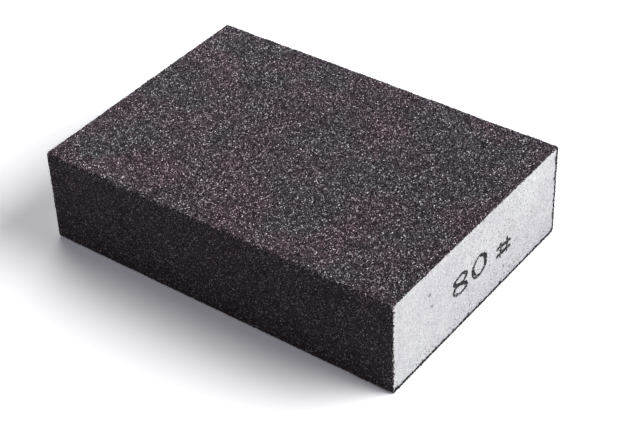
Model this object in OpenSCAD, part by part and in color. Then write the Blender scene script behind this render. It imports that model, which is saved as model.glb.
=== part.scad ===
// Sanding sponge: a block of soft foam with abrasive grit bonded round its four long faces.
// The block is cut from a coated plank, so both of its ends are bare foam framed by the
// cut edge of the coat. Millimetres.
//
// Frame: the origin is the middle of the underside, +X runs along the block's length and
// +Z is up. The end that carries the printed grit number faces +X.

/* [Foam] */
// Length of the block, from one cut end to the other
foam_length = 100; // [40:1:200]
// Width of the foam, without its coat
foam_width = 69.4; // [30:0.2:120]
// Thickness of the foam, without its coat
foam_thickness = 25; // [10:0.5:50]
// Radius of the foam's four long edges
foam_edge_radius = 0.6; // [0.2:0.1:4]

/* [Abrasive coat] */
// Thickness of the coat from the foam to the tips of the grit
coat_thickness = 0.4; // [0.2:0.05:1.5]

/* [Smoothness] */
// Sides of a full circle, for the rounded edges
$fn = 64; // [16:4:128]

/* [Hidden] */

// The coat wraps the foam evenly, so its outside follows from the foam and one thickness
coated_width = foam_width + 2 * coat_thickness;
coated_thickness = foam_thickness + 2 * coat_thickness;
coated_edge_radius = foam_edge_radius + coat_thickness;

// Rectangle centred on the origin with true arcs at its corners
module rounded_rectangle(width, height, radius) {
    square([width - 2 * radius, height], center = true);
    square([width, height - 2 * radius], center = true);
    for (side = [-1, 1], level = [-1, 1])
        translate([side * (width / 2 - radius), level * (height / 2 - radius)])
            circle(r = radius);
}

// Section across the bare foam, drawn with its width along X and its thickness along Y
module foam_section() {
    rounded_rectangle(foam_width, foam_thickness, foam_edge_radius);
}

// Section across the coat: the coated outline less the foam that it is bonded to
module coat_section() {
    difference() {
        rounded_rectangle(coated_width, coated_thickness, coated_edge_radius);
        foam_section();
    }
}

// Runs a section from one cut end to the other and stands the block on its underside
module along_block() {
    translate([-foam_length / 2, 0, coated_thickness / 2])
        rotate([90, 0, 90])
            linear_extrude(height = foam_length)
                children();
}

// Closed block of fine-celled foam, the body that gives way under the hand
module foam_block() {
    color("gainsboro")
        along_block()
            foam_section();
}

// Grit and resin in one continuous wrap: both broad faces, both long sides and the
// rounded edges between them
module abrasive_coat() {
    color("#4f484e")
        along_block()
            coat_section();
}

foam_block();
abrasive_coat();
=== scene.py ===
"""Sanding sponge: a block of soft foam with abrasive grit bonded round its four long faces.

Both ends are bare foam, framed by the cut edge of the coat, and one of them is printed with a
plain grit number. Sizes are in metres, written as millimetres times MM. The origin is the middle
of the underside, +X runs along the block to its printed end and +Z is up.
"""

import math

import bpy
import numpy as np
from mathutils import Matrix, Vector, noise


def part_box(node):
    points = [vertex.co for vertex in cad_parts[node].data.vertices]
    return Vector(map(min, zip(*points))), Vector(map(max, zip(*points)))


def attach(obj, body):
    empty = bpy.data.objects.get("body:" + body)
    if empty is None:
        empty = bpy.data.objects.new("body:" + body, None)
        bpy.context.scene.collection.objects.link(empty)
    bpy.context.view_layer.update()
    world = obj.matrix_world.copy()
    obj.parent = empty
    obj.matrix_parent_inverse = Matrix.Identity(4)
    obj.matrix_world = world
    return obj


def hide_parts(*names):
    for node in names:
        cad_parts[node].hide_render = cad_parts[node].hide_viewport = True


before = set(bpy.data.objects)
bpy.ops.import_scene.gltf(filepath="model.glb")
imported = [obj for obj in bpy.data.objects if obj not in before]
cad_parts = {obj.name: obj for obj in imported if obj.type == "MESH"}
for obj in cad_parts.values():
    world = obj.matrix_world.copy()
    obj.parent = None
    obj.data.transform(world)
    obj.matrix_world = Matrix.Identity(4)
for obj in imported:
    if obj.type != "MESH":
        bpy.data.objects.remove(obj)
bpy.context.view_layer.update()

MM = 0.001


# ---------------------------------------------------------------- sizes

FOAM_LOW, FOAM_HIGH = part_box("foam_block")
COAT_LOW, COAT_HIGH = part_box("abrasive_coat")
END_X = COAT_HIGH.x
MIDDLE_Z = (COAT_LOW.z + COAT_HIGH.z) / 2
FOAM_HALF_WIDTH = FOAM_HIGH.y
FOAM_HALF_HEIGHT = (FOAM_HIGH.z - FOAM_LOW.z) / 2
COAT_HALF_WIDTH = COAT_HIGH.y
COAT_HALF_HEIGHT = (COAT_HIGH.z - COAT_LOW.z) / 2
# Sharper than the solid's edge, because loose grains round it further
FOAM_EDGE_RADIUS = 0.35 * MM
COAT_THICKNESS = COAT_HALF_WIDTH - FOAM_HALF_WIDTH

# The grit stands on a skin of resin, and its tips reach the outside of the coat
GRIT_STAND = 0.22 * MM
SKIN_HALF_WIDTH = COAT_HALF_WIDTH - GRIT_STAND
SKIN_HALF_HEIGHT = COAT_HALF_HEIGHT - GRIT_STAND
SKIN_EDGE_RADIUS = FOAM_EDGE_RADIUS + COAT_THICKNESS - GRIT_STAND


# ---------------------------------------------------------------- colour and nodes


def linear(code):
    """An sRGB hex colour, such as "c0ffee", as linear red, green, blue and alpha."""
    parts = [int(code[i:i + 2], 16) / 255 for i in (0, 2, 4)]
    return [c / 12.92 if c <= 0.04045 else ((c + 0.055) / 1.055) ** 2.4 for c in parts] + [1.0]


def add_node(tree, kind, settings=None, inputs=None):
    """Adds a node, sets its properties, and links or sets its inputs by name or number."""
    node = tree.nodes.new(kind)
    for name, value in (settings or {}).items():
        setattr(node, name, value)
    for name, value in (inputs or {}).items():
        if isinstance(value, bpy.types.NodeSocket):
            tree.links.new(value, node.inputs[name])
        else:
            node.inputs[name].default_value = value
    return node


def set_ramp(node, stops):
    """Gives a colour ramp its stops, as (place, hex colour) pairs."""
    elements = node.color_ramp.elements
    while len(elements) < len(stops):
        elements.new(0.5)
    for element, (place, code) in zip(elements, stops):
        element.position = place
        element.color = linear(code)


def new_material(name):
    """An empty node material and its tree."""
    material = bpy.data.materials.new(name)
    material.use_nodes = True
    material.node_tree.nodes.clear()
    return material, material.node_tree


# ---------------------------------------------------------------- materials


def fused_alumina_grit():
    """Crushed brown fused alumina under a thin size coat of dark phenolic resin.

    Broken facets give sparks of light among near-black sides, and the colour changes from grain to
    grain because the resin covers some grains more than others. The palest grains and facets are partly
    painted glints.
    """
    material, tree = new_material("fused_alumina_grit")
    shade = add_node(tree, "ShaderNodeAttribute", {"attribute_name": "grain_shade"})
    grain_tone_and_glint = add_node(tree, "ShaderNodeValToRGB", inputs={"Fac": shade.outputs["Fac"]})
    # From near-black resin-covered grains to pale bare ones; the palest stops are partly painted glints
    set_ramp(grain_tone_and_glint, [
        (0.05, "0e0b0d"),
        (0.3, "342b31"),
        (0.5, "5e4e5b"),
        (0.85, "9c8a99"),
        (1.0, "ebe3e7"),
    ])
    place = add_node(tree, "ShaderNodeTexCoord")
    # The resin is a little warmer or cooler in patches of about 15 mm
    drift = add_node(tree, "ShaderNodeTexNoise", inputs={
        "Vector": place.outputs["Object"], "Scale": 1 / (15 * MM), "Detail": 1.0})
    tint = add_node(tree, "ShaderNodeValToRGB", inputs={"Fac": drift.outputs["Fac"]})
    set_ramp(tint, [(0.35, "eefcf3"), (0.5, "fbf8fb"), (0.65, "fff2f5")])
    tinted = add_node(tree, "ShaderNodeMix", {"data_type": "RGBA", "blend_type": "MULTIPLY"}, {
        "Factor": 1.0, 6: grain_tone_and_glint.outputs["Color"], 7: tint.outputs["Color"]})
    gloss = add_node(tree, "ShaderNodeMapRange", inputs={
        "Value": shade.outputs["Fac"], "To Min": 0.4, "To Max": 0.2})
    surface = add_node(tree, "ShaderNodeBsdfPrincipled", inputs={
        "Base Color": tinted.outputs[2], "Roughness": gloss.outputs["Result"], "IOR": 1.34})
    add_node(tree, "ShaderNodeOutputMaterial", inputs={"Surface": surface.outputs["BSDF"]})
    return material


def phenolic_resin_skin():
    """Phenolic make coat, rolled on wet and cured in an oven.

    It is near black and half matte. Grit dust and the finest grains fill the gaps between the
    big ones, so it is speckled too.
    """
    material, tree = new_material("phenolic_resin_skin")
    place = add_node(tree, "ShaderNodeTexCoord")
    # The finest grains are about 0.2 mm across
    fines = add_node(tree, "ShaderNodeTexVoronoi", inputs={
        "Vector": place.outputs["Object"], "Scale": 1 / (0.2 * MM)})
    shade = add_node(tree, "ShaderNodeSeparateColor", inputs={0: fines.outputs["Color"]})
    colour = add_node(tree, "ShaderNodeValToRGB", inputs={"Fac": shade.outputs[0]})
    set_ramp(colour, [(0.2, "0e0b0d"), (0.7, "282026"), (1.0, "5e505b")])
    relief = add_node(tree, "ShaderNodeBump", inputs={
        "Height": fines.outputs["Distance"], "Strength": 1.0, "Distance": 0.1 * MM})
    surface = add_node(tree, "ShaderNodeBsdfPrincipled", inputs={
        "Base Color": colour.outputs["Color"], "Normal": relief.outputs["Normal"],
        "Roughness": 0.75, "IOR": 1.2})
    add_node(tree, "ShaderNodeOutputMaterial", inputs={"Surface": surface.outputs["BSDF"]})
    return material


def sawn_coat_edge():
    """The coat sawn through: dull dark resin, with crumbs of pale foam stuck to it in places."""
    material, tree = new_material("sawn_coat_edge")
    place = add_node(tree, "ShaderNodeTexCoord")
    crumbs = add_node(tree, "ShaderNodeTexNoise", inputs={
        "Vector": place.outputs["Object"], "Scale": 1 / (0.55 * MM), "Detail": 2.0})
    where = add_node(tree, "ShaderNodeSeparateXYZ", inputs={0: place.outputs["Object"]})
    # The saw leaves most crumbs on the far side, where it comes out
    exit_side = add_node(tree, "ShaderNodeMapRange", inputs={
        "Value": where.outputs["Y"], "From Min": FOAM_HALF_WIDTH - 1.2 * MM,
        "From Max": FOAM_HALF_WIDTH, "To Max": 0.05})
    amount = add_node(tree, "ShaderNodeMath", {"operation": "ADD"}, {
        0: crumbs.outputs["Fac"], 1: exit_side.outputs["Result"]})
    colour = add_node(tree, "ShaderNodeValToRGB", inputs={"Fac": amount.outputs[0]})
    set_ramp(colour, [(0.5, "0f0f11"), (0.58, "292a2e"), (0.66, "a4a4a8")])
    surface = add_node(tree, "ShaderNodeBsdfPrincipled", inputs={
        "Base Color": colour.outputs["Color"], "Roughness": 0.85, "IOR": 1.25})
    add_node(tree, "ShaderNodeOutputMaterial", inputs={"Surface": surface.outputs["BSDF"]})
    return material


def polyurethane_foam():
    """Fine-celled polyurethane foam, cut with a saw across the plank.

    Cut cell walls scatter the light into a matte, faintly mottled pale grey, with painted shade in the
    cell hollows, and painted shading that darkens it towards the foot and lightens it towards the top.
    Specks of grit dust, and painted shade in open cells, are fine dark dots, more of them towards the
    foot.
    """
    material, tree = new_material("polyurethane_foam")
    place = add_node(tree, "ShaderNodeTexCoord")
    # The cells are about 0.3 mm across, drawn a little coarser so that they show
    cells = add_node(tree, "ShaderNodeTexVoronoi", inputs={
        "Vector": place.outputs["Object"], "Scale": 1 / (0.35 * MM)})
    # Painted shade: darker in the middle of each cell, which the bump below makes a hollow
    cell_hollow_shade = add_node(tree, "ShaderNodeValToRGB", inputs={"Fac": cells.outputs["Distance"]})
    set_ramp(cell_hollow_shade, [(0.0, "adadaf"), (0.35, "d0d0d1"), (0.8, "e8e8ea")])
    mottle = add_node(tree, "ShaderNodeTexNoise", inputs={
        "Vector": place.outputs["Object"], "Scale": 1 / (1.8 * MM), "Detail": 4.0, "Roughness": 0.7})
    mottle_colour = add_node(tree, "ShaderNodeValToRGB", inputs={"Fac": mottle.outputs["Fac"]})
    set_ramp(mottle_colour, [(0.3, "e8e8ea"), (0.5, "f9f9fa"), (0.7, "ffffff")])
    mottled = add_node(tree, "ShaderNodeMix", {"data_type": "RGBA", "blend_type": "MULTIPLY"}, {
        "Factor": 1.0, 6: cell_hollow_shade.outputs["Color"], 7: mottle_colour.outputs["Color"]})
    cloud = add_node(tree, "ShaderNodeTexNoise", inputs={
        "Vector": place.outputs["Object"], "Scale": 1 / (9 * MM), "Detail": 2.0})
    cloud_colour = add_node(tree, "ShaderNodeValToRGB", inputs={"Fac": cloud.outputs["Fac"]})
    set_ramp(cloud_colour, [(0.3, "f4f2f6"), (0.7, "fdffff")])
    clouded = add_node(tree, "ShaderNodeMix", {"data_type": "RGBA", "blend_type": "MULTIPLY"}, {
        "Factor": 1.0, 6: mottled.outputs[2], 7: cloud_colour.outputs["Color"]})
    # Painted shade and light: the foam is a little greyer towards the foot and lighter towards the top,
    # most of all on the far side
    where = add_node(tree, "ShaderNodeSeparateXYZ", inputs={0: place.outputs["Object"]})
    up = add_node(tree, "ShaderNodeMapRange", inputs={
        "Value": where.outputs["Z"], "From Max": COAT_HIGH.z, "To Min": -1.0})
    far = add_node(tree, "ShaderNodeMapRange", inputs={
        "Value": where.outputs["Y"], "From Min": FOAM_LOW.y, "From Max": FOAM_HIGH.y,
        "To Min": 0.15, "To Max": 0.6})
    painted_light_level = add_node(tree, "ShaderNodeMath", {"operation": "MULTIPLY_ADD"}, {
        0: up.outputs["Result"], 1: far.outputs["Result"], 2: 0.5})
    painted_light_colour = add_node(tree, "ShaderNodeValToRGB", inputs={"Fac": painted_light_level.outputs[0]})
    set_ramp(painted_light_colour, [(0.0, "ebeaec"), (1.0, "ffffff")])
    painted_light_foam = add_node(tree, "ShaderNodeMix", {"data_type": "RGBA", "blend_type": "MULTIPLY"}, {
        "Factor": 1.0, 6: clouded.outputs[2], 7: painted_light_colour.outputs["Color"]})
    # Dark dots, specks of grit dust and painted shade in open cells: at most one in each 0.6 mm of the
    # cut face, and none in most
    on_face = add_node(tree, "ShaderNodeCombineXYZ", inputs={
        0: where.outputs["Y"], 1: where.outputs["Z"]})
    # Noise knocks the dots out of round
    wobble = add_node(tree, "ShaderNodeTexNoise", inputs={
        "Vector": place.outputs["Object"], "Scale": 1 / (0.25 * MM), "Detail": 1.0})
    crooked = add_node(tree, "ShaderNodeVectorMath", {"operation": "MULTIPLY_ADD"}, {
        0: wobble.outputs["Color"], 1: (0.4 * MM, 0.4 * MM, 0.0), 2: on_face.outputs[0]})
    dots = add_node(tree, "ShaderNodeTexVoronoi", {"voronoi_dimensions": "2D"}, {
        "Vector": crooked.outputs[0], "Scale": 1 / (0.6 * MM)})
    chance = add_node(tree, "ShaderNodeSeparateColor", inputs={0: dots.outputs["Color"]})
    at_foot = add_node(tree, "ShaderNodeMapRange", inputs={
        "Value": where.outputs["Z"], "From Max": 5 * MM, "To Min": 0.5, "To Max": 0.0})
    # There are more dots towards the far side, and few by the far edge
    across = add_node(tree, "ShaderNodeMapRange", inputs={
        "Value": where.outputs["Y"], "From Min": -25 * MM, "From Max": 10 * MM,
        "To Min": -0.1, "To Max": 0.16})
    at_edge = add_node(tree, "ShaderNodeMapRange", inputs={
        "Value": where.outputs["Y"], "From Min": 17 * MM, "From Max": 29 * MM, "To Max": -0.2})
    drifted = add_node(tree, "ShaderNodeMath", {"operation": "ADD"}, {
        0: across.outputs["Result"], 1: at_edge.outputs["Result"]})
    dust_and_pore_shade = add_node(tree, "ShaderNodeMath", {"operation": "ADD"}, {
        0: at_foot.outputs["Result"], 1: drifted.outputs[0]})
    likely = add_node(tree, "ShaderNodeMath", {"operation": "ADD"}, {
        0: chance.outputs[0], 1: dust_and_pore_shade.outputs[0]})
    dot_size = add_node(tree, "ShaderNodeMapRange", inputs={
        "Value": likely.outputs[0], "From Min": 0.62, "From Max": 1.1, "To Max": 0.3})
    inside = add_node(tree, "ShaderNodeMath", {"operation": "SUBTRACT"}, {
        0: dot_size.outputs["Result"], 1: dots.outputs["Distance"]})
    dot = add_node(tree, "ShaderNodeMapRange", inputs={"Value": inside.outputs[0], "From Max": 0.06})
    dotted = add_node(tree, "ShaderNodeMix", {"data_type": "RGBA"}, {
        "Factor": dot.outputs["Result"], 6: painted_light_foam.outputs[2], 7: linear("5a5a5e")})
    relief = add_node(tree, "ShaderNodeBump", inputs={
        "Height": cells.outputs["Distance"], "Strength": 0.35, "Distance": 0.12 * MM})
    surface = add_node(tree, "ShaderNodeBsdfPrincipled", inputs={
        "Base Color": dotted.outputs[2], "Normal": relief.outputs["Normal"],
        "Roughness": 0.95, "IOR": 1.4})
    add_node(tree, "ShaderNodeOutputMaterial", inputs={"Surface": surface.outputs["BSDF"]})
    return material


def stamping_ink():
    """Black stamping ink soaked into the foam: matte, and thinner where the cells are open."""
    material, tree = new_material("stamping_ink")
    place = add_node(tree, "ShaderNodeTexCoord")
    wear = add_node(tree, "ShaderNodeTexNoise", inputs={
        "Vector": place.outputs["Object"], "Scale": 1 / (0.5 * MM), "Detail": 2.0})
    colour = add_node(tree, "ShaderNodeValToRGB", inputs={"Fac": wear.outputs["Fac"]})
    set_ramp(colour, [(0.35, "131315"), (0.52, "262529"), (0.7, "5a595e")])
    surface = add_node(tree, "ShaderNodeBsdfPrincipled", inputs={
        "Base Color": colour.outputs["Color"], "Roughness": 0.9, "IOR": 1.2})
    add_node(tree, "ShaderNodeOutputMaterial", inputs={"Surface": surface.outputs["BSDF"]})
    return material


# ---------------------------------------------------------------- shape helpers


def new_piece(name, points, faces, material):
    """A mesh object at the origin from points and faces."""
    mesh = bpy.data.meshes.new(name)
    mesh.from_pydata(points.tolist(), [], faces)
    mesh.materials.append(material)
    piece = bpy.data.objects.new(name, mesh)
    bpy.context.scene.collection.objects.link(piece)
    return piece


def rounded_section(half_width, half_height, radius, wide_steps, tall_steps, arc_steps):
    """One turn of points (y, z) round a rounded rectangle, anticlockwise as seen from +X.

    It starts on the underside. Beside the points it returns their outward normals and the
    side that each belongs to, where each arc is shared by the two sides that it joins.
    """
    wide, tall = half_width - radius, half_height - radius
    corners = [np.array(c) for c in ((-wide, -tall), (wide, -tall), (wide, tall), (-wide, tall))]
    points, normals, sides = [], [], []
    for side, steps in enumerate((wide_steps, tall_steps, wide_steps, tall_steps)):
        start, end = corners[side], corners[(side + 1) % 4]
        facing = math.radians(90 * side - 90)
        out = np.array([math.cos(facing), math.sin(facing)])
        for i in range(steps):
            points.append(start + (end - start) * i / steps + out * radius)
            normals.append(out)
            sides.append(side)
        for i in range(arc_steps):
            angle = facing + math.radians(90) * i / arc_steps
            out = np.array([math.cos(angle), math.sin(angle)])
            points.append(end + out * radius)
            normals.append(out)
            sides.append(side if i < arc_steps / 2 else (side + 1) % 4)
    return np.array(points), np.array(normals), np.array(sides)


def noise_at(places, wavelength, shift=0.0):
    """Smooth noise from about -1 to 1 at each place, with lumps about a wavelength across."""
    offset = Vector((shift, shift * 0.7, shift * 1.3))
    return np.array([noise.noise(Vector(p) / wavelength + offset) for p in places])


def closed_loft(rings):
    """Points and quads of a tube whose rings run outside towards +X, then back inside."""
    turn, total = len(rings[0]), len(rings)
    faces = []
    for ring in range(total):
        here, after = ring * turn, (ring + 1) % total * turn
        for i in range(turn):
            j = (i + 1) % turn
            faces.append((here + i, here + j, after + j, after + i))
    return np.concatenate(rings), faces


# ---------------------------------------------------------------- resin skin of the coat

# Numbers of the panels that grit is scattered on. The first four are the sides of a section.
PANEL_UNDER, PANEL_FAR, PANEL_TOP, PANEL_NEAR, PANEL_CUT, PANEL_TORN, PANEL_HIDDEN = range(7)

SKIN_STEP = 1 * MM
RIM_STEP = 0.2 * MM
RIM_LENGTH = 0.5 * MM

# How far the soft block strays from flat, in millimetres, and the length of each wave
SWELL, SWELL_LENGTH = 0.10, 22 * MM
RIPPLE, RIPPLE_LENGTH = 0.05, 6 * MM
EDGE_LUMP, EDGE_LUMP_LENGTH = 0.15, 3.5 * MM
EDGE_REACH = 1.5 * MM
PRESSED_DOWN = 0.16

# How far the saw draws the coat in over the foam all round, and how much more on three
# sides, in millimetres
DRAWN_IN = 0.06
DRAWN_FAR, DRAWN_NEAR, DRAWN_FOOT = 0.32, 0.12, 0.2
LEAST_REACH, MOST_REACH = 0.03, 0.9
FRAY_STRENGTH = 3.0
FRONT_WOBBLE = 0.16
LIP_PROUD = 0.04 * MM
LIP_CROWN = 0.03 * MM
RIM_SUNK = 0.05 * MM


def section_steps(step):
    """How many steps run along a wide side and a tall side of both sections."""
    return round(2 * SKIN_HALF_WIDTH / step), round(2 * SKIN_HALF_HEIGHT / step)


def skin_section(step, arc_steps):
    """The skin's section with points about a step apart."""
    return rounded_section(SKIN_HALF_WIDTH, SKIN_HALF_HEIGHT, SKIN_EDGE_RADIUS,
                           *section_steps(step), arc_steps)


def foam_section(step, arc_steps):
    """The foam's section, with a point for each point of the skin's."""
    return rounded_section(FOAM_HALF_WIDTH, FOAM_HALF_HEIGHT, FOAM_EDGE_RADIUS,
                           *section_steps(step), arc_steps)


def wavy_ring(x, section, normals, lift=0.0):
    """The section at a place along the block, wavy as soft foam is and lumpier at its long edges."""
    ring = np.column_stack([np.full(len(section), x), section])
    from_edge = (SKIN_HALF_WIDTH - np.abs(section[:, 0])) + (SKIN_HALF_HEIGHT - np.abs(section[:, 1]))
    at_edge = np.exp(-(from_edge / EDGE_REACH) ** 2)
    lumps = SWELL * noise_at(ring, SWELL_LENGTH) + RIPPLE * noise_at(ring, RIPPLE_LENGTH, 9.0)
    lumps = lumps + EDGE_LUMP * noise_at(ring, EDGE_LUMP_LENGTH, 14.0) * at_edge
    # The block's weight presses the underside down to its tips of grit, and evens it out
    flat = np.clip(-normals[:, 1], 0, 1)
    lumps = lumps * (1 - flat) + (PRESSED_DOWN - 0.6 * np.abs(lumps)) * flat
    ring[:, 1:] += normals * (lumps * MM + lift)[:, None]
    return ring


def mark_panels(piece, panels):
    """Writes each face's panel number, which the grit is scattered by."""
    attribute = piece.data.attributes.new("panel", "INT", "FACE")
    attribute.data.foreach_set("value", np.array(panels, dtype=np.int32))


def coat_skin(material):
    """Closed sleeve of resin round the foam."""
    outer, normals, sides = skin_section(SKIN_STEP, 4)
    inner, _, _ = foam_section(SKIN_STEP, 4)
    ends_at = END_X - 0.1 * MM
    stations = np.linspace(-ends_at, ends_at, round(2 * ends_at / SKIN_STEP) + 1)
    rings = [wavy_ring(x, outer, normals) for x in stations]
    rings.append(np.column_stack([np.full(len(inner), ends_at), inner]))
    rings.append(np.column_stack([np.full(len(inner), -ends_at), inner]))
    points, faces = closed_loft(rings)
    points[:, 2] += MIDDLE_Z
    piece = new_piece("coat_skin", points, faces, material)
    mark_panels(piece, [*np.tile(sides, len(stations) - 1), *np.full(3 * len(sides), PANEL_HIDDEN)])
    return piece


def cut_rim(name, end, material):
    """Ragged ring round one end, where the saw dragged the coat in over the foam."""
    outer, normals, sides = skin_section(RIM_STEP, 5)
    inner, _, _ = foam_section(RIM_STEP, 5)
    turn = len(outer)
    section = np.column_stack([np.zeros(turn), outer])
    fray = 0.35 * noise_at(section, 1.7 * MM, 20.0 + end) + 0.65 * noise_at(section, 0.6 * MM, end)
    # The rim is drawn in furthest on the far side, where the saw comes out
    far, near = np.clip(normals[:, 0], 0, 1), np.clip(-normals[:, 0], 0, 1)
    foot = np.clip(-normals[:, 1], 0, 1)
    drawn_in = DRAWN_IN + DRAWN_FAR * far + DRAWN_NEAR * near + DRAWN_FOOT * foot
    reach = np.clip(drawn_in * np.exp(FRAY_STRENGTH * fray), LEAST_REACH, MOST_REACH) * MM
    lip = inner - normals * reach[:, None]
    front = wavy_ring(end * END_X, outer, normals)
    front[:, 0] += end * FRONT_WOBBLE * MM * noise_at(section, 0.7 * MM, 3.0 + end)
    proud = END_X + LIP_PROUD
    rings = [wavy_ring(end * (END_X - RIM_LENGTH), outer, normals, -RIM_SUNK),
             front,
             np.column_stack([np.full(turn, end * (proud + LIP_CROWN)), (front[:, 1:] + lip) / 2]),
             np.column_stack([np.full(turn, end * proud), lip]),
             np.column_stack([np.full(turn, end * (END_X - RIM_LENGTH)), lip])]
    cut = np.where(np.isin(sides, (PANEL_UNDER, PANEL_FAR)), PANEL_TORN, PANEL_CUT)
    hidden = np.full(turn, PANEL_HIDDEN)
    panels = [hidden, cut, cut, hidden, hidden]
    if end == -1:
        # Outside towards +X: the back ring comes last, and every span belongs to the ring before it
        rings = rings[::-1]
        panels = panels[3::-1] + panels[4:]
    points, faces = closed_loft(rings)
    points[:, 2] += MIDDLE_Z
    piece = new_piece(name, points, faces, material)
    mark_panels(piece, np.concatenate(panels))
    return piece


# ---------------------------------------------------------------- grit

# Grit 80 is about 0.2 mm across. The shards are drawn wider, so that they close up over the skin.
GRAIN_RADIUS = 0.74  # of the spacing
CROWDED = 50e6  # points to a square metre, before the spacing thins them

# Shards, in grain radii before each is stretched
SHARD_CORNERS = (3, 3, 3, 4, 4)
SHARD_DEPTH = 1.1
KNOCK_ASIDE, KNOCK_DEEP = 0.3, 0.25
STRETCH_LEAST, STRETCH_MOST = (0.75, 0.75, 1.0), (1.3, 1.3, 2.2)
EXTRA_PROUD = 0.35
LEAN = 1.0  # radians each way
FACET_CHANGE = 0.35


def grit_tree():
    """Geometry Nodes tree that scatters broken grains over chosen panels of the skin."""
    tree = bpy.data.node_groups.new("scatter_grit", "GeometryNodeTree")
    tree.is_modifier = True
    interface = tree.interface
    interface.new_socket("Geometry", in_out="OUTPUT", socket_type="NodeSocketGeometry")
    interface.new_socket("Geometry", in_out="INPUT", socket_type="NodeSocketGeometry")
    for name, kind in (("Panel", "Int"), ("From X", "Float"), ("To X", "Float"), ("Spacing", "Float"),
                       ("Density", "Float"), ("Grain radius", "Float"), ("Least proud", "Float"),
                       ("Seed", "Int"), ("Material", "Material")):
        interface.new_socket(name, in_out="INPUT", socket_type=f"NodeSocket{kind}")
    given = tree.nodes.new("NodeGroupInput").outputs
    panel = add_node(tree, "GeometryNodeInputNamedAttribute", {"data_type": "INT"}, {"Name": "panel"})
    wanted = add_node(tree, "FunctionNodeCompare", {"data_type": "INT", "operation": "EQUAL"}, {
        2: panel.outputs["Attribute"], 3: given["Panel"]})
    place = add_node(tree, "GeometryNodeInputPosition")
    split = add_node(tree, "ShaderNodeSeparateXYZ", inputs={0: place.outputs[0]})
    after = add_node(tree, "FunctionNodeCompare", {"operation": "GREATER_EQUAL"}, {
        0: split.outputs["X"], 1: given["From X"]})
    before = add_node(tree, "FunctionNodeCompare", {"operation": "LESS_THAN"}, {
        0: split.outputs["X"], 1: given["To X"]})
    in_range = add_node(tree, "FunctionNodeBooleanMath", {"operation": "AND"}, {
        0: after.outputs[0], 1: before.outputs[0]})
    chosen = add_node(tree, "FunctionNodeBooleanMath", {"operation": "AND"}, {
        0: wanted.outputs[0], 1: in_range.outputs[0]})
    points = add_node(tree, "GeometryNodeDistributePointsOnFaces", {"distribute_method": "POISSON"}, {
        "Mesh": given["Geometry"], "Selection": chosen.outputs[0], "Distance Min": given["Spacing"],
        "Density Max": given["Density"], "Seed": given["Seed"]})
    # Some grains stand prouder of the resin than others, in grain radii
    extra = add_node(tree, "FunctionNodeRandomValue", {"data_type": "FLOAT"}, {
        2: 0.0, 3: EXTRA_PROUD, "Seed": 1})
    proud = add_node(tree, "ShaderNodeMath", {"operation": "ADD"}, {
        0: extra.outputs[1], 1: given["Least proud"]})
    proud_by = add_node(tree, "ShaderNodeMath", {"operation": "MULTIPLY"}, {
        0: proud.outputs[0], 1: given["Grain radius"]})
    offset = add_node(tree, "ShaderNodeVectorMath", {"operation": "SCALE"}, {
        0: points.outputs["Normal"], "Scale": proud_by.outputs[0]})
    bedded = add_node(tree, "GeometryNodeSetPosition", inputs={
        "Geometry": points.outputs["Points"], "Offset": offset.outputs[0]})
    # A shard is a low pyramid, bedded tip first so that its broad facet looks out, with its
    # corners knocked about
    shards = add_node(tree, "GeometryNodeJoinGeometry")
    index = add_node(tree, "GeometryNodeInputIndex")
    for seed, corners in enumerate(SHARD_CORNERS):
        knock = add_node(tree, "FunctionNodeRandomValue", {"data_type": "FLOAT_VECTOR"}, {
            0: (-KNOCK_ASIDE, -KNOCK_ASIDE, -SHARD_DEPTH - KNOCK_DEEP),
            1: (KNOCK_ASIDE, KNOCK_ASIDE, -SHARD_DEPTH + KNOCK_DEEP),
            "ID": index.outputs[0], "Seed": 40 + seed})
        pyramid = add_node(tree, "GeometryNodeMeshCone", {"fill_type": "NGON"}, {
            "Vertices": corners, "Radius Top": 1.0, "Radius Bottom": 0.0, "Depth": SHARD_DEPTH})
        shard = add_node(tree, "GeometryNodeSetPosition", inputs={
            "Geometry": pyramid.outputs["Mesh"], "Offset": knock.outputs[0]})
        held = add_node(tree, "GeometryNodeGeometryToInstance", inputs={"Geometry": shard.outputs[0]})
        tree.links.new(held.outputs[0], shards.inputs[0])
    which = add_node(tree, "FunctionNodeRandomValue", {"data_type": "INT"}, {
        4: 0, 5: len(SHARD_CORNERS) - 1, "Seed": 2})
    lean = add_node(tree, "FunctionNodeRandomValue", {"data_type": "FLOAT_VECTOR"}, {
        0: (-LEAN, -LEAN, 0), 1: (LEAN, LEAN, math.tau), "Seed": 3})
    lean_by = add_node(tree, "FunctionNodeEulerToRotation", inputs={0: lean.outputs[0]})
    turn_to = add_node(tree, "FunctionNodeRotateRotation", {"rotation_space": "LOCAL"}, {
        0: points.outputs["Rotation"], 1: lean_by.outputs[0]})
    stretch = add_node(tree, "FunctionNodeRandomValue", {"data_type": "FLOAT_VECTOR"}, {
        0: STRETCH_LEAST, 1: STRETCH_MOST, "Seed": 4})
    size = add_node(tree, "ShaderNodeVectorMath", {"operation": "SCALE"}, {
        0: stretch.outputs[0], "Scale": given["Grain radius"]})
    grains = add_node(tree, "GeometryNodeInstanceOnPoints", inputs={
        "Points": bedded.outputs[0], "Instance": shards.outputs[0], "Pick Instance": True,
        "Instance Index": which.outputs[2], "Rotation": turn_to.outputs[0], "Scale": size.outputs[0]})
    shade = add_node(tree, "FunctionNodeRandomValue", {"data_type": "FLOAT"}, {
        2: 0.0, 3: 1.0, "Seed": 5})
    by_grain = add_node(tree, "GeometryNodeStoreNamedAttribute", {
        "data_type": "FLOAT", "domain": "INSTANCE"}, {
        "Geometry": grains.outputs[0], "Name": "whole_grain", "Value": shade.outputs[1]})
    real = add_node(tree, "GeometryNodeRealizeInstances", inputs={"Geometry": by_grain.outputs[0]})
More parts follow.
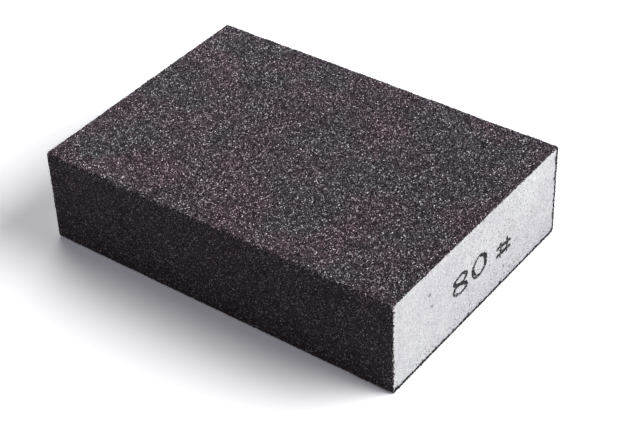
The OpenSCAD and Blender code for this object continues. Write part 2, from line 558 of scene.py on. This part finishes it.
    # Each facet is a little barer or more covered than its grain
    whole = add_node(tree, "GeometryNodeInputNamedAttribute", {"data_type": "FLOAT"}, {
        "Name": "whole_grain"})
    facet = add_node(tree, "FunctionNodeRandomValue", {"data_type": "FLOAT"}, {
        2: -FACET_CHANGE, 3: FACET_CHANGE, "Seed": 6})
    facet_shade = add_node(tree, "ShaderNodeMath", {"operation": "ADD", "use_clamp": True}, {
        0: whole.outputs["Attribute"], 1: facet.outputs[1]})
    shaded = add_node(tree, "GeometryNodeStoreNamedAttribute", {
        "data_type": "FLOAT", "domain": "FACE"}, {
        "Geometry": real.outputs[0], "Name": "grain_shade", "Value": facet_shade.outputs[0]})
    painted = add_node(tree, "GeometryNodeSetMaterial", inputs={
        "Geometry": shaded.outputs[0], "Material": given["Material"]})
    add_node(tree, "NodeGroupOutput", inputs={"Geometry": painted.outputs[0]})
    return tree


def scatter_grit(name, tree, skin, settings):
    """Runs the tree on a copy of the skin and returns the grains as one plain mesh."""
    carrier = bpy.data.objects.new("grit_carrier", skin.data)
    bpy.context.scene.collection.objects.link(carrier)
    modifier = carrier.modifiers.new("grit", "NODES")
    modifier.node_group = tree
    sockets = {s.name: s.identifier for s in tree.interface.items_tree if s.in_out == "INPUT"}
    for label, value in settings.items():
        modifier[sockets[label]] = value
    evaluated = carrier.evaluated_get(bpy.context.evaluated_depsgraph_get())
    mesh = bpy.data.meshes.new_from_object(evaluated)
    carrier.modifiers.remove(modifier)
    bpy.data.objects.remove(carrier)
    mesh.name = name
    # No tip reaches below the surface that the block stands on
    points = np.empty(len(mesh.vertices) * 3, np.float32)
    mesh.vertices.foreach_get("co", points)
    points[2::3] = np.maximum(points[2::3], COAT_LOW.z)
    mesh.vertices.foreach_set("co", points)
    mesh.update()
    piece = bpy.data.objects.new(name, mesh)
    bpy.context.scene.collection.objects.link(piece)
    return piece


# ---------------------------------------------------------------- foam

FOAM_PITCH = 0.25 * MM
CELL = 0.6 * MM  # twice the real cell, as finer ones don't show
CELL_TABLE = 256  # cells each way before the pattern repeats, more than cover an end

# Depths below the end's plane, in millimetres
SET_BACK = 0.02
PIT_DEPTH = 0.16
TORN_WALLS = 0.03
DISHED = 0.08
PORE_DEPTH = 1.1


def nearest_cell(y, z, cell, seed):
    """Distance to the nearest of one random spot per square cell, and its own random number.

    The distance is in cells.
    """
    spots = np.random.default_rng(seed).random((CELL_TABLE, CELL_TABLE, 3))
    u, v = y / cell + CELL_TABLE / 2, z / cell + CELL_TABLE / 2
    best, own = np.full(u.shape, 9.0), np.zeros(u.shape)
    for du in (-1, 0, 1):
        for dv in (-1, 0, 1):
            i, j = np.floor(u).astype(int) + du, np.floor(v).astype(int) + dv
            spot = spots[i % CELL_TABLE, j % CELL_TABLE]
            distance = np.hypot(i + spot[..., 0] - u, j + spot[..., 1] - v)
            own = np.where(distance < best, spot[..., 2], own)
            best = np.minimum(best, distance)
    return best, own


# Larger open cells on each end: (y, z from the middle, radius), in millimetres
PORES = {
    1: [(-20.3, 5.2, 0.5), (-19.4, 1.4, 0.5), (1.9, 11.6, 0.35), (-3.0, 2.6, 0.3), (11.5, -8.2, 0.35)],
    -1: [(-24.1, -3.8, 0.45), (-9.6, 7.3, 0.35), (6.2, -6.1, 0.5), (21.7, 3.4, 0.35)],
}


def foam_depth(y, z, end):
    """How far the cut foam lies below the end's plane at each place."""
    distance, own = nearest_cell(y, z, CELL, 5 + end)
    pits = np.clip(1 - distance / 0.6, 0, 1) * np.clip(own - 0.25, 0, 1) * PIT_DEPTH * MM
    fine = np.random.default_rng(77 + end).random(y.shape) * TORN_WALLS * MM
    places = np.column_stack([np.full(y.size, end * 1.0), y.ravel(), z.ravel()])
    broad = (0.5 + 0.5 * noise_at(places, 7 * MM, 4.0)).reshape(y.shape) * DISHED * MM
    depth = SET_BACK * MM + pits + fine + broad
    for pore_y, pore_z, radius in PORES[end]:
        away = np.hypot(y - pore_y * MM, z - pore_z * MM) / (radius * MM)
        depth = depth + np.clip(1 - away**2, 0, 1) * PORE_DEPTH * MM
    return depth


class FoamFace:
    """One cut end of the foam: a grid of depths, read between its points as its triangles lie."""

    def __init__(self, end):
        self.end = end
        self.columns = round(2 * FOAM_HALF_WIDTH / FOAM_PITCH)
        self.rows = round(2 * FOAM_HALF_HEIGHT / FOAM_PITCH)
        ys = np.linspace(-FOAM_HALF_WIDTH, FOAM_HALF_WIDTH, self.columns + 1)
        zs = np.linspace(-FOAM_HALF_HEIGHT, FOAM_HALF_HEIGHT, self.rows + 1)
        self.y, self.z = np.meshgrid(ys, zs, indexing="ij")
        self.depth = foam_depth(self.y, self.z, end)

    def depth_at(self, y, z):
        u = (y + FOAM_HALF_WIDTH) / (2 * FOAM_HALF_WIDTH) * self.columns
        v = (z + FOAM_HALF_HEIGHT) / (2 * FOAM_HALF_HEIGHT) * self.rows
        i = np.clip(u.astype(int), 0, self.columns - 1)
        j = np.clip(v.astype(int), 0, self.rows - 1)
        u, v = u - i, v - j
        d = self.depth
        lower = d[i, j] + u * (d[i + 1, j] - d[i, j]) + v * (d[i + 1, j + 1] - d[i + 1, j])
        upper = d[i, j] + v * (d[i, j + 1] - d[i, j]) + u * (d[i + 1, j + 1] - d[i, j + 1])
        return np.where(u > v, lower, upper)

    def points(self):
        """The grid as points, with its corners drawn in to the foam's rounded edges."""
        y, z = self.y.copy(), self.z.copy()
        radius = FOAM_EDGE_RADIUS
        dy = np.abs(y) - (FOAM_HALF_WIDTH - radius)
        dz = np.abs(z) - (FOAM_HALF_HEIGHT - radius)
        corner = (dy > 0) & (dz > 0)
        shrink = np.where(corner, np.maximum(dy, dz) / np.maximum(np.hypot(dy, dz), 1e-9), 1.0)
        y = np.where(corner, np.sign(y) * (FOAM_HALF_WIDTH - radius + dy * shrink), y)
        z = np.where(corner, np.sign(z) * (FOAM_HALF_HEIGHT - radius + dz * shrink), z)
        x = self.end * (END_X - self.depth)
        return np.column_stack([x.ravel(), y.ravel(), z.ravel() + MIDDLE_Z])

    def triangles(self):
        i, j = np.meshgrid(np.arange(self.columns), np.arange(self.rows), indexing="ij")
        a = (i * (self.rows + 1) + j).ravel()
        b, c, d = a + self.rows + 1, a + self.rows + 2, a + 1
        found = np.concatenate([np.column_stack([a, b, c]), np.column_stack([a, c, d])])
        return found if self.end == 1 else found[:, ::-1]

    def border(self):
        """Numbers of the points round the edge, anticlockwise seen from +X."""
        rows, columns = self.rows, self.columns
        step = rows + 1
        bottom = np.arange(columns) * step
        right = columns * step + np.arange(rows)
        top = np.arange(columns, 0, -1) * step + rows
        left = np.arange(rows, 0, -1)
        return np.concatenate([bottom, right, top, left])


def foam_piece(marked, blank, material):
    """Closed block of foam between its two cut ends."""
    points = np.concatenate([marked.points(), blank.points()])
    shift = len(marked.points())
    front, back = marked.border(), blank.border() + shift
    walls = np.column_stack([front, back, np.roll(back, -1), np.roll(front, -1)])
    faces = marked.triangles().tolist() + (blank.triangles() + shift).tolist() + walls.tolist()
    return new_piece("foam_core", points, faces, material)


# ---------------------------------------------------------------- printed grit number

INK_PITCH = 0.1 * MM
INK_SPREAD = 0.12 * MM
INK_MARGIN = 1 * MM
FILM_PROUD = 0.025 * MM
FILM_THICKNESS = 0.06 * MM
BARE_SHARE = 0.08  # of the foam's cells, which take no ink
RAGGED, RAGGED_BROADLY = 0.2, 0.14  # millimetres each way at the film's edge

# Middles of the figures from the middle of the end, in millimetres
EIGHT_AT = (-7.55, -0.3)
ZERO_AT = (0.55, -0.35)
ZERO_HALF_WIDTH, ZERO_HALF_HEIGHT = 2.7, 2.8
# The number sign's level bars, as (height, fall), and its uprights, by their places across
BARS = ((-1.1, 0.5), (-3.15, 0.2))
BAR_FROM, BAR_TO, BAR_PEN = 8.35, 14.0, 0.37
UPRIGHTS = (9.85, 12.75)
UPRIGHT_TOP, UPRIGHT_FOOT, UPRIGHT_PEN = -0.2, -4.0, 0.33

# The 8 as a pen draws it from the upper left: (y, z, pen radius) from its middle, in millimetres.
# Its falling stroke is heavy and the stroke that crosses it is light.
EIGHT = [
    (-2.65, 1.6, 0.40), (-1.75, 0.8, 0.37), (-0.2, 0.15, 0.35), (1.5, -0.55, 0.37),
    (2.75, -1.5, 0.41), (2.5, -2.25, 0.37), (1.2, -2.65, 0.27), (-0.5, -2.6, 0.27),
    (-1.9, -1.95, 0.38), (-2.55, -1.05, 0.45), (-2.3, -0.2, 0.38), (-1.2, 0.15, 0.22),
    (1.2, 0.3, 0.24), (2.3, 0.9, 0.41), (2.5, 1.7, 0.42), (1.6, 2.4, 0.33),
    (0.1, 2.65, 0.27), (-1.6, 2.25, 0.28),
]


def figure_eight(y, z):
    """Smooth closed curve through the places of EIGHT, with its pen radius."""
    knots = np.array(EIGHT)
    before, after, beyond = np.roll(knots, 1, 0), np.roll(knots, -1, 0), np.roll(knots, -2, 0)
    curve = []
    for t in np.linspace(0, 1, 6, endpoint=False):
        curve.append(0.5 * (2 * knots + (after - before) * t
                            + (2 * before - 5 * knots + 4 * after - beyond) * t**2
                            + (3 * knots - before - 3 * after + beyond) * t**3))
    curve = np.concatenate(curve)
    return curve[:, 0] + y, curve[:, 1] + z, curve[:, 2]


def figure_zero(y, z):
    """Centreline and pen radius of a 0, thick at its sides."""
    t = np.linspace(0, math.tau, 90, endpoint=False)
    pen = 0.27 + 0.31 * np.cos(t - 0.2) ** 2
    return y + ZERO_HALF_WIDTH * np.cos(t), z + ZERO_HALF_HEIGHT * np.sin(t), pen


def straight_stroke(y0, z0, y1, z1, radius):
    """Centreline and pen radius of a straight stroke."""
    t = np.linspace(0, 1, 40)
    return y0 + (y1 - y0) * t, z0 + (z1 - z0) * t, np.full(40, radius)


def number_strokes():
    """The strokes of the grit number, in metres from the middle of the end."""
    strokes = [figure_eight(*EIGHT_AT), figure_zero(*ZERO_AT)]
    for z, fall in BARS:
        strokes.append(straight_stroke(BAR_FROM, z, BAR_TO, z - fall, BAR_PEN))
    for y in UPRIGHTS:
        strokes.append(straight_stroke(y - 0.05, UPRIGHT_TOP, y + 0.1, UPRIGHT_FOOT, UPRIGHT_PEN))
    return [np.concatenate(part) * MM for part in zip(*strokes)]


def joined_at_corners(inked):
    """Fills in beside cells that touch only at a corner, so that the film is closed all round."""
    inked = inked.copy()
    while True:
        a, b, c, d = inked[:-1, :-1], inked[1:, :-1], inked[:-1, 1:], inked[1:, 1:]
        rising, falling = a & d & ~b & ~c, b & c & ~a & ~d
        if not (rising.any() or falling.any()):
            return inked
        b |= rising
        a |= falling


def printed_number(face, material):
    """Thin film of ink on the foam, broken at its edges and over the open cells."""
    pen_y, pen_z, pen_r = number_strokes()
    low_y, high_y = pen_y.min() - INK_MARGIN, pen_y.max() + INK_MARGIN
    low_z, high_z = pen_z.min() - INK_MARGIN, pen_z.max() + INK_MARGIN
    ys, zs = np.arange(low_y, high_y, INK_PITCH), np.arange(low_z, high_z, INK_PITCH)
    y, z = np.meshgrid(ys, zs, indexing="ij")
    mid_y, mid_z = y[:-1, :-1] + INK_PITCH / 2, z[:-1, :-1] + INK_PITCH / 2
    clear = np.full(mid_y.shape, 1.0)
    for cy, cz, radius in zip(pen_y, pen_z, pen_r):
        clear = np.minimum(clear, np.hypot(mid_y - cy, mid_z - cz) - radius - INK_SPREAD)
    places = np.column_stack([np.zeros(mid_y.size), mid_y.ravel(), mid_z.ravel()])
    ragged = noise_at(places, 0.4 * MM) * RAGGED + noise_at(places, 0.9 * MM, 5.0) * RAGGED_BROADLY
    ragged = ragged * MM
    inked = clear + ragged.reshape(clear.shape) < 0
    _, own = nearest_cell(mid_y, mid_z, 0.35 * MM, 31)
    inked &= own > BARE_SHARE
    inked = joined_at_corners(inked)
    number = -np.ones(y.shape, dtype=int)
    cells = np.argwhere(inked)
    for di, dj in ((0, 0), (1, 0), (1, 1), (0, 1)):
        number[cells[:, 0] + di, cells[:, 1] + dj] = 1
    used = np.argwhere(number > 0)
    number[used[:, 0], used[:, 1]] = np.arange(len(used))
    py, pz = y[used[:, 0], used[:, 1]], z[used[:, 0], used[:, 1]]
    x = END_X - face.depth_at(py, pz) + FILM_PROUD
    top = np.column_stack([x, py, pz + MIDDLE_Z])
    bottom = top - np.array([FILM_THICKNESS, 0, 0])
    i, j = cells.T
    quads = np.column_stack([number[i, j], number[i + 1, j], number[i + 1, j + 1], number[i, j + 1]])
    edges = np.concatenate([quads[:, [k, (k + 1) % 4]] for k in range(4)])
    key = edges.min(1) * len(used) + edges.max(1)
    _, first, count = np.unique(key, return_index=True, return_counts=True)
    rim = edges[first[count == 1]]
    shift = len(used)
    walls = np.column_stack([rim[:, 1], rim[:, 0], rim[:, 0] + shift, rim[:, 1] + shift])
    faces = np.concatenate([quads, quads[:, ::-1] + shift, walls]).tolist()
    return new_piece("printed_grit_number", np.concatenate([top, bottom]), faces, material)


# ---------------------------------------------------------------- stage

FLOOR_SIZE = 3.0
SEEN_WHITE = 1.0
AMBIENT = 0.06
# The paper is overexposed: it shows a third brighter than it lights, and its shadow is lifted a little
PAPER_GAIN = 1.32
SHADOW_LIFT = 0.15


def seen_directly(tree):
    """1 for rays from the camera and for mirror and glass rays, 0 for those that light things."""
    path = add_node(tree, "ShaderNodeLightPath")
    shiny = add_node(tree, "ShaderNodeMath", {"operation": "MAXIMUM"}, {
        0: path.outputs["Is Glossy Ray"], 1: path.outputs["Is Transmission Ray"]})
    return add_node(tree, "ShaderNodeMath", {"operation": "MAXIMUM"}, {
        0: path.outputs["Is Camera Ray"], 1: shiny.outputs[0]}).outputs[0]


def paper_floor():
    """Sheet of matte white paper under the block, which keeps the block's shadow."""
    material, tree = new_material("matte_white_paper")
    colour = add_node(tree, "ShaderNodeMix", {"data_type": "RGBA"}, {
        "Factor": seen_directly(tree), 6: linear("c8c8ca"), 7: [PAPER_GAIN] * 3 + [1.0]})
    paper = add_node(tree, "ShaderNodeBsdfDiffuse", inputs={"Color": colour.outputs[2]})
    lift = add_node(tree, "ShaderNodeMath", {"operation": "MULTIPLY"}, {
        0: seen_directly(tree), 1: SHADOW_LIFT})
    glow = add_node(tree, "ShaderNodeEmission", inputs={
        "Color": linear("f0eeff"), "Strength": lift.outputs[0]})
    surface = add_node(tree, "ShaderNodeAddShader", inputs={0: paper.outputs[0], 1: glow.outputs[0]})
    add_node(tree, "ShaderNodeOutputMaterial", inputs={"Surface": surface.outputs[0]})
    half = FLOOR_SIZE / 2
    corners = np.array([(-half, -half, 0), (half, -half, 0), (half, half, 0), (-half, half, 0)])
    return new_piece("paper_floor", corners, [(0, 1, 2, 3)], material)


def white_surroundings():
    """World that is white where it is seen and a dim, even light where it only lights."""
    world = bpy.data.worlds.new("white_studio")
    world.use_nodes = True
    tree = world.node_tree
    tree.nodes.clear()
    dim = add_node(tree, "ShaderNodeBackground", inputs={
        "Color": linear("fafaff"), "Strength": AMBIENT})
    white = add_node(tree, "ShaderNodeBackground", inputs={
        "Color": linear("ffffff"), "Strength": SEEN_WHITE})
    both = add_node(tree, "ShaderNodeMixShader", inputs={
        0: seen_directly(tree), 1: dim.outputs[0], 2: white.outputs[0]})
    add_node(tree, "ShaderNodeOutputWorld", inputs={"Surface": both.outputs[0]})
    bpy.context.scene.world = world


def softbox(name, azimuth, elevation, width, strength):
    """A far, wide, even light. Its azimuth is from +X towards +Y, and its width is in degrees."""
    light = bpy.data.lights.new(name, "SUN")
    light.energy = strength
    light.angle = math.radians(width)
    turn, rise = math.radians(azimuth), math.radians(elevation)
    towards = Vector((math.cos(rise) * math.cos(turn), math.cos(rise) * math.sin(turn), math.sin(rise)))
    lamp = bpy.data.objects.new(name, light)
    lamp.rotation_mode = "QUATERNION"
    lamp.rotation_quaternion = towards.to_track_quat("Z", "Y")
    bpy.context.scene.collection.objects.link(lamp)


CAMERA_PLACE = Vector((204.8, -260.1, 263.8)) * MM
CAMERA_AIM = Vector((6.78, -6.85, 12.9)) * MM
CAMERA_ROLL = -2.58  # degrees
LENS = 99.9  # millimetres, on a sensor 36 wide


def portrait_camera():
    """Long lens above the block's near corner, at the printed end."""
    data = bpy.data.cameras.new("camera")
    data.lens = LENS
    data.sensor_width = 36.0
    data.clip_start = 0.01
    data.clip_end = 10.0
    camera = bpy.data.objects.new("camera", data)
    look = (CAMERA_AIM - CAMERA_PLACE).to_track_quat("-Z", "Y").to_matrix()
    tilt = Matrix.Rotation(math.radians(CAMERA_ROLL), 3, "Z")
    camera.matrix_world = Matrix.Translation(CAMERA_PLACE) @ (look @ tilt).to_4x4()
    bpy.context.scene.collection.objects.link(camera)
    bpy.context.scene.camera = camera


# ---------------------------------------------------------------- build

grit_material = fused_alumina_grit()
edge_material = sawn_coat_edge()
skin = coat_skin(phenolic_resin_skin())
printed_rim = cut_rim("cut_rim_printed_end", 1, edge_material)
blank_rim = cut_rim("cut_rim_blank_end", -1, edge_material)

tree = grit_tree()
# Name, what carries the grit, its panel, from X, to X, least spacing in mm, least proud in radii, seed
BEDS = [
    ("grit_top_blank_half", skin, PANEL_TOP, -1.0, 0.0, 0.235, 0.0, 11),
    ("grit_top_printed_half", skin, PANEL_TOP, 0.0, 1.0, 0.235, 0.0, 12),
    ("grit_under_blank_half", skin, PANEL_UNDER, -1.0, 0.0, 0.28, 0.0, 13),
    ("grit_under_printed_half", skin, PANEL_UNDER, 0.0, 1.0, 0.28, 0.0, 14),
    ("grit_near_side", skin, PANEL_NEAR, -1.0, 1.0, 0.225, -0.15, 15),
    ("grit_far_side", skin, PANEL_FAR, -1.0, 1.0, 0.25, 0.0, 16),
    ("grit_printed_rim", printed_rim, PANEL_CUT, -1.0, 1.0, 0.25, 0.0, 17),
    ("grit_blank_rim", blank_rim, PANEL_CUT, -1.0, 1.0, 0.25, 0.0, 18),
    ("torn_grit_printed_rim", printed_rim, PANEL_TORN, -1.0, 1.0, 0.25, 0.0, 19),
    ("torn_grit_blank_rim", blank_rim, PANEL_TORN, -1.0, 1.0, 0.25, 0.0, 20),
]
grit = []
for name, carrier, panel, low, high, spacing, proud, seed in BEDS:
    # Torn grains are smeared with the dark resin of the edge
    finish = edge_material if panel == PANEL_TORN else grit_material
    grit.append(scatter_grit(name, tree, carrier, {
        "Panel": panel, "From X": low, "To X": high, "Spacing": spacing * MM, "Density": CROWDED,
        "Grain radius": GRAIN_RADIUS * spacing * MM, "Least proud": proud, "Seed": seed,
        "Material": finish}))

printed_face, blank_face = FoamFace(1), FoamFace(-1)
foam = foam_piece(printed_face, blank_face, polyurethane_foam())
ink = printed_number(printed_face, stamping_ink())

floor = paper_floor()
white_surroundings()
softbox("key_softbox", azimuth=31, elevation=31.6, width=49.6, strength=4.07)
softbox("fill_softbox", azimuth=132.5, elevation=34.8, width=44, strength=0.93)
portrait_camera()
bpy.context.scene.view_settings.view_transform = "Standard"

pieces = [skin, printed_rim, blank_rim, foam, ink, *grit]
for piece in pieces:
    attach(piece, "root")
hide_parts("abrasive_coat")
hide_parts("foam_block")
